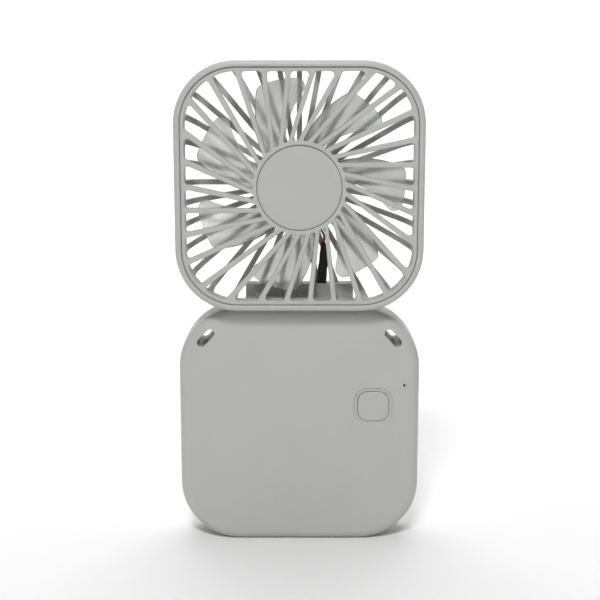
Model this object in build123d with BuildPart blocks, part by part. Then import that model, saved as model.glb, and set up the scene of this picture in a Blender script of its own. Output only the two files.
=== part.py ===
from build123d import *

import os
from math import cos, hypot, pi, radians, sin, tan

# Folding pocket fan: a rounded-square fan head hinged on the top rear edge of a rounded-square
# battery base.  Millimetres.  X is to the right seen from the front, the front faces -Y and +Z is
# up.  The origin is the middle of the base's underside.

# ---------------------------------------------------------------- driving dimensions: cases
body_width = 88.0           # width of the base and of the head
base_height = 88.0
head_height = 88.0
base_depth = 20.0
head_depth = 26.5
corner_radius = 22.0        # rounded-square corners, seen from the front
stack_gap = 0.4             # between the base's top and the head's underside
fold_gap = 0.3              # from the rear faces out to the hinge axis

base_wall = 1.8
base_front_round = 3.6
base_rear_round = 2.6
shell_split_gap = 0.5         # from the joint plane of the shells to the hinge block behind it

head_wall = 2.2             # width of the head's raised rim
rim_round = 1.5
rim_inner_round = 0.4
ledge_width = 0.6           # step behind the rim that the grille sits on
frame_band = 7.0            # depth of the closed wall behind the head's rim
cage_wall = 2.2             # thickness of the rear bars
cage_round = 8.0            # bend of the rear bars into the side of the head
rear_bar_count = 36
rear_bar_width = 1.9

# ---------------------------------------------------------------- driving dimensions: grille
grille_recess = 0.7         # grille face behind the rim
grille_depth = 2.8
grille_gap = 0.1
grille_ring = 1.4           # width of the grille's outer ring
rib_count = 30
rib_offset = 8.0            # distance of each straight rib from the fan's axis
rib_width_hub = 1.4
rib_width_far = 2.4         # at the end of the rib's blank, beyond the frame
rib_corner_hub = 0.45
rib_corner_frame = 1.3
hub_round_reach = 12.0      # how far out from the hub the tight rounding is worked
rib_edge_round = 0.3
skirt_depth = 3.0
bead_length = 6.0
bead_height = 0.4
bead_depth = 0.8
bead_offset = 18.0
snap_play = 0.1

hub_ring_radius = 16.5
cap_radius = 15.0
cap_recess = 0.5
cap_thickness = 1.2
cap_play = 0.1
cap_edge_round = 0.25
cap_peg_radius = 1.0
cap_peg_length = 0.9
cap_peg_ring = 9.0

# ---------------------------------------------------------------- driving dimensions: impeller
blade_count = 7
blade_phase = -7.5          # first blade's tip from straight up, clockwise
blade_tip_radius = 38.0
blade_tip_spread = 31.0     # degrees of the circle that a tip takes
blade_root_spread = 28.0
blade_sweep = 28.0          # degrees that a tip runs ahead of its root
blade_thickness = 1.0
blade_rise = 10.0           # axial travel of a blade from its trailing to its leading edge
blade_camber = 0.08
blade_tip_corner = 3.0
impeller_gap = 1.0          # behind the grille
impeller_hub_radius = 15.0
impeller_hub_depth = 12.5
impeller_hub_front = 1.4
impeller_hub_wall = 1.5
impeller_hub_round = 1.2

# ---------------------------------------------------------------- driving dimensions: motor
yoke_wall = 0.8
yoke_depth = 10.0
magnet_wall = 1.5
magnet_depth = 8.4
magnet_setback = 0.4
air_gap = 0.4
stator_depth = 4.5
stator_core_wall = 1.4
stator_pole_count = 9
stator_pole_width = 1.8
stator_tip_depth = 1.2
stator_tip_width = 5.4
coil_build = 0.9            # copper on each side of a pole
coil_length = 3.2
bearing_tube_radius = 3.2
bearing_radius = 2.4
bearing_length = 3.0
shaft_radius = 1.0
shaft_play = 0.03
bush_radius = 2.5
bush_length = 0.9
clip_radius = 1.9
clip_thickness = 0.4
motor_flange_radius = 8.5
motor_flange_thickness = 1.0
motor_seat_radius = 14.5
motor_seat_thickness = 2.6
motor_seat_rim = 1.5        # flat ring left round the dish in the seat's back
motor_seat_dish = 0.3
motor_board_radius = 11.0
motor_board_thickness = 1.0
motor_board_lift = 1.9      # from the flange to the motor's board
motor_screw_ring = 6.2
motor_screw_radius = 0.7
motor_screw_reach = 1.6
motor_screw_head = 1.35
motor_screw_head_depth = 0.9

# ---------------------------------------------------------------- driving dimensions: hinge
barrel_radius = 5.0
barrel_clearance = 0.3
head_knuckle_half = 11.0
washer_thickness = 0.6
washer_play = 0.1
washer_radius = 4.4
base_knuckle_length = 6.3
block_wall = 1.5
pin_radius = 1.5
pin_play = 0.05
pin_end_wall = 1.2
pin_inner_x = -3.0
tube_radius = 2.6
tube_bore = 1.8
tube_inner_x = 3.4
tube_reach = 3.0            # how far the hollow pin runs into the base's knuckle
passage_x = 8.2
passage_width = 4.2
passage_depth = 2.5
passage_top_y = 6.7
base_passage_width = 2.3
base_passage_depth = 2.4
base_passage_drop = 12.0
base_passage_lean = 28.0    # degrees from straight down, towards the front

# ---------------------------------------------------------------- driving dimensions: base fittings
slot_length = 7.8
slot_width = 3.2
slot_wall = 1.2
slot_inset = 5.5            # slot's middle from the outside of the corner
slot_lean = 43.0            # degrees of the slot's middle above level, round the corner

button_x = 27.1
button_z = 51.6
button_width = 11.3
button_height = 11.0
button_corner = 3.6
button_gap = 0.15
button_proud = 0.4          # face of the button above the floor of its dish
button_face_round = 0.35
button_travel = 0.4
button_flange = 0.8
button_flange_depth = 1.0
button_rest_gap = 0.1
button_stem_radius = 2.0
dish_width = 1.1
dish_depth = 0.45
led_x = 38.4
led_z = 59.6
led_hole_radius = 0.5
led_width = 1.6
led_height = 0.8
led_depth = 0.6
light_pipe_radius = 1.2
light_pipe_tip_radius = 0.45
light_pipe_recess = 0.8

main_board_width = 27.0
main_board_height = 40.0
main_board_side_gap = 3.0     # from the board to the outside of the right side
main_board_bottom = 24.5
main_board_front_y = -1.5
main_board_thickness = 1.2
chip_x = 27.0                 # controller chip on the back of the board
chip_z = 50.0
chip_width = 4.0
chip_height = 5.0
chip_depth = 1.6
chip_lift = 0.2
chip_leg_pitch = 1.27
chip_leg_rows = 4
chip_leg_span = 6.0
chip_leg_width = 0.45
chip_leg_depth = 0.3
coil_can_x = 27.0             # charging coil's can
coil_can_z = 39.5
coil_can_size = 5.0
coil_can_round = 1.0
coil_can_depth = 2.4
capacitor_mid_x = 33.5
capacitor_mid_z = 33.0
capacitor_pitch_x = 4.0
capacitor_pitch_z = 3.4
capacitor_length = 2.0
capacitor_width = 1.25
capacitor_depth = 0.9
switch_size = 6.0
switch_depth = 3.1
plunger_radius = 1.7
plunger_play = 0.05
plunger_reach = 1.0
plunger_seat = 0.7
usb_width = 8.9
usb_depth = 3.2
usb_corner = 1.4
usb_length = 7.3
usb_wall = 0.3
usb_back = 1.0
usb_recess = 0.8
usb_z = 34.0
usb_slot_gap = 0.3
usb_tongue_width = 6.6
usb_tongue_depth = 0.7
usb_tongue_length = 4.6

battery_width = 34.0
battery_height = 50.0
battery_depth = 7.6
battery_round = 1.6
battery_left = -33.5
battery_bottom = 16.0
battery_pad_thickness = 0.5
battery_pad_margin = 3.0
battery_rib_wall = 1.0
battery_rib_length = 38.0
battery_rib_inset = 7.0
battery_board_width = 18.0
battery_board_height = 3.4
battery_board_thickness = 0.8
battery_board_gap = 0.5
battery_tab_width = 3.0
battery_tab_thickness = 0.2
battery_tab_spacing = 10.0

low_screw_inset = 11.5        # shell screws near the lower corners
low_screw_z = 11.8
high_screw_inset = 14.0       # shell screws below the upper corners
high_screw_drop = 18.0
board_screw_inset = 3.2
board_screw_rise = 3.5
board_screw_right_inset = 3.4
board_screw_right_z = 46.5
screw_radius = 1.0
screw_play = 0.15
screw_length = 8.0
screw_head_radius = 1.9
screw_head_depth = 1.2
screw_pocket_depth = 2.4
boss_radius = 2.9
pilot_depth = 6.0
board_screw_radius = 0.8
board_screw_length = 4.0
board_screw_head_radius = 1.5
board_post_radius = 1.8
drive_length = 2.0
drive_width = 0.45
drive_depth = 0.5

lead_radius = 0.45
lead_spread = 0.65          # half the distance between the two leads
lead_stub = 1.3             # straight length of a lead where it leaves a board or the cable
lead_joint_gap = 0.1        # half the gap between the head's and the base's piece of a lead
cable_width = 3.6
cable_depth = 1.8
cable_drop = 22.5           # cable's upper end below the fan's axis
cable_top_x = 9.7

# ---------------------------------------------------------------- derived places
rear_y = base_depth / 2
base_front_y = -base_depth / 2
base_mid_z = base_height / 2
head_bottom_z = base_height + stack_gap
head_mid_z = head_bottom_z + head_height / 2
head_front_y = rear_y - head_depth
frame_back_y = head_front_y + frame_band
fan_axis = Axis((0, 0, head_mid_z), (0, 1, 0))

hinge_y = rear_y + fold_gap
hinge_z = base_height + stack_gap / 2
notch_radius = barrel_radius + barrel_clearance
base_knuckle_start = head_knuckle_half + washer_thickness + 2 * washer_play
base_knuckle_end = base_knuckle_start + base_knuckle_length
notch_half = base_knuckle_end + barrel_clearance
block_half = notch_half + block_wall
block_reach = notch_radius + block_wall
block_top_z = hinge_z + block_reach
shell_split_y = hinge_y - block_reach - shell_split_gap
pin_outer_x = base_knuckle_end - pin_end_wall
tube_outer_x = base_knuckle_start + tube_reach
lead_joint_x = (head_knuckle_half + base_knuckle_start) / 2
passage_line = Vector(0, hinge_y - passage_top_y, hinge_z - block_top_z)
passage_plane = Plane(origin=(passage_x, passage_top_y, block_top_z), x_dir=(1, 0, 0),
                      z_dir=passage_line.normalized())
base_passage_x = pin_outer_x - base_passage_width / 2
base_passage_plane = Plane(origin=(base_passage_x, hinge_y, hinge_z), x_dir=(1, 0, 0),
                           z_dir=(0, -sin(radians(base_passage_lean)), -cos(radians(base_passage_lean))))

grille_front_y = head_front_y + grille_recess
grille_back_y = grille_front_y + grille_depth
grille_half_x = body_width / 2 - head_wall - grille_gap
grille_half_z = head_height / 2 - head_wall - grille_gap
grille_corner = corner_radius - head_wall - grille_gap
skirt_half_x = body_width / 2 - head_wall - ledge_width - grille_gap
skirt_half_z = head_height / 2 - head_wall - ledge_width - grille_gap
skirt_corner = corner_radius - head_wall - ledge_width - grille_gap
skirt_back_y = grille_back_y + skirt_depth
bead_back_y = skirt_back_y - bead_height
bead_places = [(side * bead_offset, end * skirt_half_z, 0) for side in (-1, 1) for end in (-1, 1)]
bead_places += [(end * skirt_half_x, side * bead_offset, 90) for side in (-1, 1) for end in (-1, 1)]

impeller_front_y = grille_back_y + impeller_gap
impeller_back_y = impeller_front_y + impeller_hub_depth
blade_mid_y = impeller_front_y + impeller_hub_depth / 2 - 0.25
yoke_front_y = impeller_front_y + impeller_hub_front
yoke_radius = impeller_hub_radius - impeller_hub_wall
magnet_radius = yoke_radius - yoke_wall
stator_radius = magnet_radius - magnet_wall - air_gap
magnet_front_y = yoke_front_y + yoke_wall + magnet_setback
stator_front_y = magnet_front_y + (magnet_depth - stator_depth) / 2
seat_front_y = rear_y - motor_seat_thickness
flange_front_y = seat_front_y - motor_flange_thickness
bush_back_y = yoke_front_y + yoke_wall + bush_length
bearing_tube_front_y = bush_back_y + air_gap
motor_board_back_y = flange_front_y - motor_board_lift
motor_board_front_y = motor_board_back_y - motor_board_thickness
rear_bearing_front_y = motor_board_back_y - bearing_length
clip_front_y = motor_board_back_y + shaft_play
shaft_back_y = clip_front_y + clip_thickness + 0.5

main_board_back_y = main_board_front_y + main_board_thickness
main_board_right = body_width / 2 - main_board_side_gap
main_board_left = main_board_right - main_board_width
main_board_mid_x = main_board_left + main_board_width / 2
main_board_mid_z = main_board_bottom + main_board_height / 2
base_inner_front_y = base_front_y + base_wall
base_inner_rear_y = rear_y - base_wall
screw_seat_y = rear_y - screw_pocket_depth
low_screw_x = body_width / 2 - low_screw_inset
high_screw_x = body_width / 2 - high_screw_inset
high_screw_z = base_height - high_screw_drop
shell_screw_places = [(-low_screw_x, low_screw_z), (low_screw_x, low_screw_z)]
shell_screw_places += [(-high_screw_x, high_screw_z), (high_screw_x, high_screw_z)]
board_screw_left_x = main_board_left + board_screw_inset
board_screw_places = [(board_screw_left_x, main_board_bottom + board_screw_rise),
                      (board_screw_left_x, main_board_bottom + main_board_height - board_screw_rise),
                      (main_board_right - board_screw_right_inset, board_screw_right_z)]
slot_reach = corner_radius - slot_inset
slot_x = body_width / 2 - corner_radius + slot_reach * cos(radians(slot_lean))
slot_z = base_height - corner_radius + slot_reach * sin(radians(slot_lean))
dish_floor_y = base_front_y + dish_depth
button_face_y = dish_floor_y - button_proud
button_flange_front_y = base_inner_front_y + button_rest_gap
button_flange_back_y = button_flange_front_y + button_flange_depth
switch_front_y = main_board_front_y - switch_depth
plunger_front_y = switch_front_y - plunger_reach
plunger_pocket = plunger_seat + button_travel + plunger_play
usb_mid_y = main_board_front_y - usb_depth / 2
usb_mouth_x = body_width / 2 - usb_recess
battery_back_y = base_inner_rear_y - battery_pad_thickness
battery_front_y = battery_back_y - battery_depth
battery_mid_x = battery_left + battery_width / 2
battery_mid_z = battery_bottom + battery_height / 2
battery_top_z = battery_bottom + battery_height
battery_board_z = battery_top_z + battery_board_gap + battery_board_height / 2
battery_board_front_y = battery_front_y + battery_depth / 2

os.makedirs("parts", exist_ok=True)


def facing(y, x=0.0, z=0.0):
    """Sketch plane at depth y seen from the front: local x is X, local y is Z, extrusions grow forward."""
    return Plane(origin=(x, y, z), x_dir=(1, 0, 0), z_dir=(0, -1, 0))


def across(x, y=hinge_y, z=hinge_z):
    """Sketch plane at x looking along X, centred on the hinge unless told: local x is Y, local y is Z."""
    return Plane(origin=(x, y, z), x_dir=(0, 1, 0), z_dir=(1, 0, 0))


def faces_at_depth(part, y):
    """Flat faces of a part that lie at depth y."""
    return part.faces().filter_by(Axis.Y).filter_by_position(Axis.Y, y - 0.01, y + 0.01)


def from_axis(corner):
    """Distance of a sketch corner from the sketch's own middle."""
    return hypot(corner.X, corner.Y)


def polar(radius, degrees_from_up):
    """Point in a front view at a radius and a clockwise angle from straight up."""
    return (radius * sin(radians(degrees_from_up)), radius * cos(radians(degrees_from_up)))


def lead(points):
    """Insulated lead: straight runs joined by arcs as large as the shorter run beside each allows."""
    points = [Vector(*point) for point in points]
    radii = []
    for before, corner, after in zip(points, points[1:], points[2:]):
        turn = (corner - before).get_angle(after - corner)
        shorter = min((corner - before).length, (after - corner).length)
        radii.append(0.45 * shorter / tan(radians(turn) / 2))
    with BuildPart() as solid:
        with BuildLine() as path:
            FilletPolyline(*points, radius=radii)
        with BuildSketch(Plane(origin=points[0], z_dir=points[1] - points[0])):
            Circle(lead_radius)
        sweep(path=path.wires()[0])
    expected = pi * lead_radius ** 2 * path.wires()[0].length
    print("lead radii", [round(radius, 2) for radius in radii])
    print("lead volume over section times length", round(solid.part.volume / expected, 4))
    return solid.part


def screw_at(x, y, z, radius, length, head_radius, head_depth, towards):
    """Cross-head screw whose head sits on depth y; its shank runs forward (1) or backward (-1)."""
    with BuildPart() as screw:
        with BuildSketch(facing(y, x, z)):
            Circle(radius)
        extrude(amount=towards * length)
        with BuildSketch(facing(y, x, z)):
            Circle(head_radius)
        extrude(amount=-towards * head_depth)
        head_rim = screw.edges().filter_by(GeomType.CIRCLE).group_by(SortBy.RADIUS)[-1]
        fillet(head_rim.sort_by(Axis.Y)[-1 if towards > 0 else 0], head_depth / 3)
        with BuildSketch(facing(y + towards * head_depth, x, z)):
            Rectangle(drive_length * head_radius / screw_head_radius, drive_width)
            Rectangle(drive_width, drive_length * head_radius / screw_head_radius)
        extrude(amount=towards * drive_depth, mode=Mode.SUBTRACT)
    return screw.part


def ring(y_back, y_front, outer, inner, label):
    """Plain ring about the fan's axis between two depths."""
    with BuildPart() as band:
        with BuildSketch(facing(y_back, z=head_mid_z)):
            Circle(outer)
            Circle(inner, mode=Mode.SUBTRACT)
        extrude(amount=y_back - y_front)
    band.part.label = label
    return band


# ---------------------------------------------------------------- head: rear housing
# A raised rim and closed band in front, radial bars that bend into the band, a motor seat in the
# middle of the bars and a hinge block with its knuckle on the lower rear edge.
with BuildPart() as rear_housing:
    with BuildSketch(facing(rear_y, z=head_mid_z)):
        RectangleRounded(body_width, head_height, corner_radius)
    extrude(amount=head_depth)
    fillet(faces_at_depth(rear_housing.part, rear_y).edges(), cage_round)
    fillet(faces_at_depth(rear_housing.part, head_front_y).edges(), rim_round)
    with BuildSketch(facing(rear_y - cage_wall, z=head_mid_z)):
        RectangleRounded(2 * (skirt_half_x + grille_gap), 2 * (skirt_half_z + grille_gap),
                         skirt_corner + grille_gap)
    extrude(amount=head_depth - cage_wall, mode=Mode.SUBTRACT)
    fillet(faces_at_depth(rear_housing.part, rear_y - cage_wall).edges(), cage_round - cage_wall)
    with BuildSketch(facing(grille_back_y, z=head_mid_z)):
        RectangleRounded(2 * (grille_half_x + grille_gap), 2 * (grille_half_z + grille_gap),
                         grille_corner + grille_gap)
    extrude(amount=grille_depth + grille_recess, mode=Mode.SUBTRACT)
    fillet(faces_at_depth(rear_housing.part, head_front_y)[0].inner_wires()[0].edges(), rim_inner_round)
    # windows between the radial bars
    with BuildSketch(facing(rear_y + 1, z=head_mid_z)):
        Rectangle(2 * body_width, 2 * head_height)
        with PolarLocations(0, rear_bar_count):
            with Locations((body_width, 0)):
                Rectangle(2 * body_width, rear_bar_width, mode=Mode.SUBTRACT)
        Circle(motor_seat_radius, mode=Mode.SUBTRACT)
    extrude(amount=rear_y + 1 - frame_back_y, mode=Mode.SUBTRACT)
    # motor seat with its screw pilots
    with BuildSketch(facing(rear_y, z=head_mid_z)):
        Circle(motor_seat_radius)
    extrude(amount=motor_seat_thickness)
    with BuildSketch(facing(rear_y, z=head_mid_z)):
        Circle(motor_seat_radius - motor_seat_rim)
    extrude(amount=motor_seat_dish, mode=Mode.SUBTRACT)
    with BuildSketch(facing(seat_front_y, z=head_mid_z)):
        with PolarLocations(motor_screw_ring, 3, start_angle=90):
            Circle(motor_screw_radius)
    extrude(amount=-motor_screw_reach, mode=Mode.SUBTRACT)
    # hinge block, and the closed floor between it and the front band
    with BuildSketch(across(-block_half)):
        with Locations((-fold_gap, stack_gap / 2)):
            Rectangle(block_reach - fold_gap, block_reach - stack_gap / 2, align=(Align.MAX, Align.MIN))
    extrude(amount=2 * block_half)
    with BuildSketch(facing(hinge_y - block_reach + 1, z=head_bottom_z)):
        Rectangle(2 * block_half, cage_wall, align=(Align.CENTER, Align.MIN))
    extrude(amount=hinge_y - block_reach + 1 - frame_back_y + 1)
    with BuildSketch(across(-notch_half)):
        Circle(notch_radius)
    extrude(amount=2 * notch_half, mode=Mode.SUBTRACT)
    # knuckle, and the web that joins it to the block
    with BuildSketch(across(-head_knuckle_half)):
        Circle(barrel_radius)
        with Locations((-fold_gap, stack_gap / 2)):
            Rectangle(block_reach - fold_gap, block_reach - stack_gap / 2, align=(Align.MAX, Align.MIN))
    extrude(amount=2 * head_knuckle_half)
    # bores for the solid and the hollow pin, and the passage that brings the leads down to them
    with BuildSketch(across(-head_knuckle_half)):
        Circle(pin_radius + pin_play)
    extrude(amount=head_knuckle_half + pin_inner_x + pin_play, mode=Mode.SUBTRACT)
    with BuildSketch(across(tube_inner_x)):
        Circle(tube_radius)
    extrude(amount=head_knuckle_half - tube_inner_x, mode=Mode.SUBTRACT)
    with BuildSketch(passage_plane.offset(-1)):
        RectangleRounded(passage_width, passage_depth, passage_depth * 0.45)
    extrude(amount=passage_line.length + 1, mode=Mode.SUBTRACT)
    # pockets that the grille's beads snap into
    with BuildSketch(facing(bead_back_y + snap_play, z=head_mid_z)):
        for bead_x, bead_z, bead_turn in bead_places:
            with Locations(Location((bead_x, bead_z, 0), (0, 0, bead_turn))):
                Rectangle(bead_length + 2 * snap_play, 2 * (bead_height + snap_play))
    extrude(amount=bead_depth + 2 * snap_play, mode=Mode.SUBTRACT)
rear_housing.part.label = "rear_housing"
export_step(rear_housing.part, "parts/rear_housing.step")

# ---------------------------------------------------------------- head: front grille
# Straight ribs that all miss the fan's axis by the same distance, between a hub and a thin ring.
opening_half_x = grille_half_x - grille_ring
opening_half_z = grille_half_z - grille_ring
opening_corner = grille_corner - grille_ring

with BuildSketch() as bare_openings:
    RectangleRounded(2 * opening_half_x, 2 * opening_half_z, opening_corner)
    Circle(hub_ring_radius, mode=Mode.SUBTRACT)
    with PolarLocations(0, rib_count):
        Polygon((cap_radius / 2, rib_offset - rib_width_hub / 2),
                (body_width, rib_offset - rib_width_far / 2),
                (body_width, rib_offset + rib_width_far / 2),
                (cap_radius / 2, rib_offset + rib_width_hub / 2), align=None, mode=Mode.SUBTRACT)
# shrinking and growing an opening rounds its corners: widely at the frame, tightly at the hub
with BuildSketch() as frame_rounded:
    add(bare_openings.sketch)
    offset(amount=-rib_corner_frame, kind=Kind.ARC)
    offset(amount=rib_corner_frame, kind=Kind.ARC)
with BuildSketch() as hub_rounded:
    add(bare_openings.sketch)
    Circle(hub_ring_radius + hub_round_reach, mode=Mode.INTERSECT)
    offset(amount=-rib_corner_hub, kind=Kind.ARC)
    offset(amount=rib_corner_hub, kind=Kind.ARC)

with BuildPart() as front_grille:
    with BuildSketch(facing(grille_back_y, z=head_mid_z)):
        RectangleRounded(2 * grille_half_x, 2 * grille_half_z, grille_corner)
    extrude(amount=grille_depth)
    with BuildSketch(facing(grille_back_y, z=head_mid_z)):
        add(hub_rounded.sketch)
        add(frame_rounded.sketch)
    extrude(amount=grille_depth, mode=Mode.SUBTRACT)
    fillet(faces_at_depth(front_grille.part, grille_front_y).edges(), rib_edge_round)
    # recess and peg holes for the cap
    with BuildSketch(facing(grille_front_y + cap_recess + cap_thickness, z=head_mid_z)):
        Circle(cap_radius + cap_play)
    extrude(amount=cap_recess + cap_thickness, mode=Mode.SUBTRACT)
    with BuildSketch(facing(grille_back_y, z=head_mid_z)):
        with PolarLocations(cap_peg_ring, 3, start_angle=90):
            Circle(cap_peg_radius)
    extrude(amount=grille_depth, mode=Mode.SUBTRACT)
    # skirt with its snap beads
    with BuildSketch(facing(skirt_back_y, z=head_mid_z)):
        RectangleRounded(2 * skirt_half_x, 2 * skirt_half_z, skirt_corner)
        RectangleRounded(2 * opening_half_x, 2 * opening_half_z, opening_corner, mode=Mode.SUBTRACT)
    extrude(amount=skirt_depth)
    with BuildSketch(facing(bead_back_y, z=head_mid_z)):
        for bead_x, bead_z, bead_turn in bead_places:
            with Locations(Location((bead_x, bead_z, 0), (0, 0, bead_turn))):
                Rectangle(bead_length, 2 * bead_height)
    extrude(amount=bead_depth)
front_grille.part.label = "front_grille"
export_step(front_grille.part, "parts/front_grille.step")

with BuildPart() as hub_cap:
    with BuildSketch(facing(grille_front_y + cap_recess + cap_thickness, z=head_mid_z)):
        Circle(cap_radius)
    extrude(amount=cap_thickness)
    fillet(faces_at_depth(hub_cap.part, grille_front_y + cap_recess).edges(), cap_edge_round)
    with BuildSketch(facing(grille_front_y + cap_recess + cap_thickness, z=head_mid_z)):
        with PolarLocations(cap_peg_ring, 3, start_angle=90):
            Circle(cap_peg_radius)
    extrude(amount=-cap_peg_length)
hub_cap.part.label = "hub_cap"
export_step(hub_cap.part, "parts/hub_cap.step")

# ---------------------------------------------------------------- impeller
# Seven thin swept blades, each lofted through cambered sections and trimmed to its front outline.
blade_root_radius = impeller_hub_radius - impeller_hub_wall / 2
blade_stations = [blade_root_radius, 22.0, 30.0, blade_tip_radius + 2]


def along_blade(radius):
    """Share of the way from the blade's root to its tip."""
    return (radius - blade_root_radius) / (blade_tip_radius - blade_root_radius)


def blade_edge(radius, side):
    """Clockwise angle of the leading (1) or trailing (-1) edge at a radius, the tip's middle at zero."""
    share = along_blade(radius)
    spread = blade_root_spread + (blade_tip_spread - blade_root_spread) * share
    bow = 3.0 * share * (1 - share)
    return -blade_sweep * (1 - share) + side * spread / 2 + bow


with BuildPart() as blade:
    for station in blade_stations:
        middle = (blade_edge(station, 1) + blade_edge(station, -1)) / 2
        half_spread = radians(blade_edge(station, 1) - middle)
        reach = 1.12 * station * sin(half_spread)
        rise = 1.12 * blade_rise / 2
        chord = 2 * hypot(reach, rise)
        bulge = blade_camber * chord
        section_arc = ThreePointArc((-reach, -rise), (-bulge * 2 * rise / chord, bulge * 2 * reach / chord),
                                    (reach, rise))
        out = Vector(sin(radians(middle)), 0, cos(radians(middle)))
        around = Vector(cos(radians(middle)), 0, -sin(radians(middle)))
        with BuildSketch(Plane(origin=Vector(0, blade_mid_y, head_mid_z) + out * station,
                               x_dir=around, z_dir=out)):
            SlotArc(section_arc, blade_thickness)
    loft()
    with BuildSketch(facing(impeller_back_y, z=head_mid_z)) as planform:
        with BuildLine():
            stations = [blade_root_radius, (blade_root_radius + blade_tip_radius) / 2, blade_tip_radius]
            leading = Spline(*[polar(station, blade_edge(station, 1)) for station in stations])
            trailing = Spline(*[polar(station, blade_edge(station, -1)) for station in stations])
            ThreePointArc(trailing @ 1, polar(blade_tip_radius, 0), leading @ 1)
            ThreePointArc(trailing @ 0, polar(blade_root_radius, -blade_sweep), leading @ 0)
        make_face()
        tips = [corner for corner in planform.vertices() if from_axis(corner) > blade_tip_radius - 0.1]
        fillet(tips, blade_tip_corner)
    extrude(amount=impeller_hub_depth, mode=Mode.INTERSECT)

with BuildPart() as impeller:
    with BuildSketch(facing(impeller_back_y, z=head_mid_z)):
        Circle(impeller_hub_radius)
    extrude(amount=impeller_hub_depth)
    fillet(faces_at_depth(impeller.part, impeller_front_y).edges(), impeller_hub_round)
    for turn in range(blade_count):
        add(blade.part.rotate(fan_axis, blade_phase + turn * 360 / blade_count))
    with BuildSketch(facing(impeller_back_y, z=head_mid_z)):
        Circle(yoke_radius)
    extrude(amount=impeller_hub_depth - impeller_hub_front, mode=Mode.SUBTRACT)
impeller.part.label = "impeller"
export_step(impeller.part, "parts/impeller.step")

# ---------------------------------------------------------------- motor: turning parts
with BuildPart() as rotor_yoke:
    with BuildSketch(facing(yoke_front_y + yoke_depth, z=head_mid_z)):
        Circle(yoke_radius)
    extrude(amount=yoke_depth)
    with BuildSketch(facing(yoke_front_y + yoke_depth, z=head_mid_z)):
        Circle(magnet_radius)
    extrude(amount=yoke_depth - yoke_wall, mode=Mode.SUBTRACT)
    with BuildSketch(facing(yoke_front_y + yoke_wall, z=head_mid_z)):
        Circle(shaft_radius)
    extrude(amount=yoke_wall, mode=Mode.SUBTRACT)
rotor_yoke.part.label = "rotor_yoke"
export_step(rotor_yoke.part, "parts/rotor_yoke.step")

rotor_magnet = ring(magnet_front_y + magnet_depth, magnet_front_y, magnet_radius,
                    magnet_radius - magnet_wall, "rotor_magnet")
export_step(rotor_magnet.part, "parts/rotor_magnet.step")

shaft_bush = ring(bush_back_y, yoke_front_y + yoke_wall, bush_radius, shaft_radius, "shaft_bush")
export_step(shaft_bush.part, "parts/shaft_bush.step")

with BuildPart() as motor_shaft:
    with BuildSketch(facing(shaft_back_y, z=head_mid_z)):
        Circle(shaft_radius)
    extrude(amount=shaft_back_y - yoke_front_y)
    chamfer(faces_at_depth(motor_shaft.part, shaft_back_y).edges(), shaft_radius / 5)
motor_shaft.part.label = "motor_shaft"
export_step(motor_shaft.part, "parts/motor_shaft.step")

with BuildPart() as shaft_clip:
    with BuildSketch(facing(clip_front_y + clip_thickness, z=head_mid_z)):
        Circle(clip_radius)
        Circle(shaft_radius, mode=Mode.SUBTRACT)
        with Locations((0, -clip_radius)):
            Rectangle(shaft_radius, clip_radius, mode=Mode.SUBTRACT)
    extrude(amount=clip_thickness)
shaft_clip.part.label = "shaft_clip"
export_step(shaft_clip.part, "parts/shaft_clip.step")

# ---------------------------------------------------------------- motor: fixed parts
with BuildPart() as bearing_tube:
    with BuildSketch(facing(seat_front_y, z=head_mid_z)):
        Circle(motor_flange_radius)
    extrude(amount=motor_flange_thickness)
    with BuildSketch(facing(flange_front_y, z=head_mid_z)):
        Circle(bearing_tube_radius)
    extrude(amount=flange_front_y - bearing_tube_front_y)
    with BuildSketch(facing(seat_front_y, z=head_mid_z)):
        Circle(bearing_radius)
        with PolarLocations(motor_screw_ring, 3, start_angle=90):
            Circle(motor_screw_radius)
    extrude(amount=seat_front_y - bearing_tube_front_y, mode=Mode.SUBTRACT)
bearing_tube.part.label = "bearing_tube"
export_step(bearing_tube.part, "parts/bearing_tube.step")

with BuildPart() as shaft_bearings:
    for bearing_front_y in (bearing_tube_front_y, rear_bearing_front_y):
        with BuildSketch(facing(bearing_front_y + bearing_length, z=head_mid_z)):
            Circle(bearing_radius)
            Circle(shaft_radius + shaft_play, mode=Mode.SUBTRACT)
        extrude(amount=bearing_length)
shaft_bearings.part.label = "shaft_bearings"
export_step(shaft_bearings.part, "parts/shaft_bearings.step")

coil_inner = stator_radius - stator_tip_depth - coil_length
with BuildPart() as stator_core:
    with BuildSketch(facing(stator_front_y + stator_depth, z=head_mid_z)):
        Circle(bearing_tube_radius + stator_core_wall)
        with PolarLocations(0, stator_pole_count):
            with Locations((stator_radius / 2, 0)):
                Rectangle(stator_radius - stator_tip_depth / 2, stator_pole_width)
            with Locations((stator_radius - stator_tip_depth / 2, 0)):
                Rectangle(stator_tip_depth, stator_tip_width)
        Circle(stator_radius, mode=Mode.INTERSECT)
        Circle(bearing_tube_radius, mode=Mode.SUBTRACT)
    extrude(amount=stator_depth)
stator_core.part.label = "stator_core"
export_step(stator_core.part, "parts/stator_core.step")

with BuildPart() as stator_coils:
    with BuildSketch(facing(stator_front_y + stator_depth + coil_build, z=head_mid_z)):
        with PolarLocations(coil_inner + coil_length / 2, stator_pole_count):
            Rectangle(coil_length, stator_pole_width + 2 * coil_build)
    extrude(amount=stator_depth + 2 * coil_build)
    with BuildSketch(facing(stator_front_y + stator_depth, z=head_mid_z)):
        with PolarLocations(coil_inner + coil_length / 2, stator_pole_count):
            Rectangle(coil_length, stator_pole_width)
    extrude(amount=stator_depth, mode=Mode.SUBTRACT)
stator_coils.part.label = "stator_coils"
export_step(stator_coils.part, "parts/stator_coils.step")

motor_board = ring(motor_board_back_y, motor_board_front_y, motor_board_radius, bearing_tube_radius,
                   "motor_board")
export_step(motor_board.part, "parts/motor_board.step")

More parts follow.
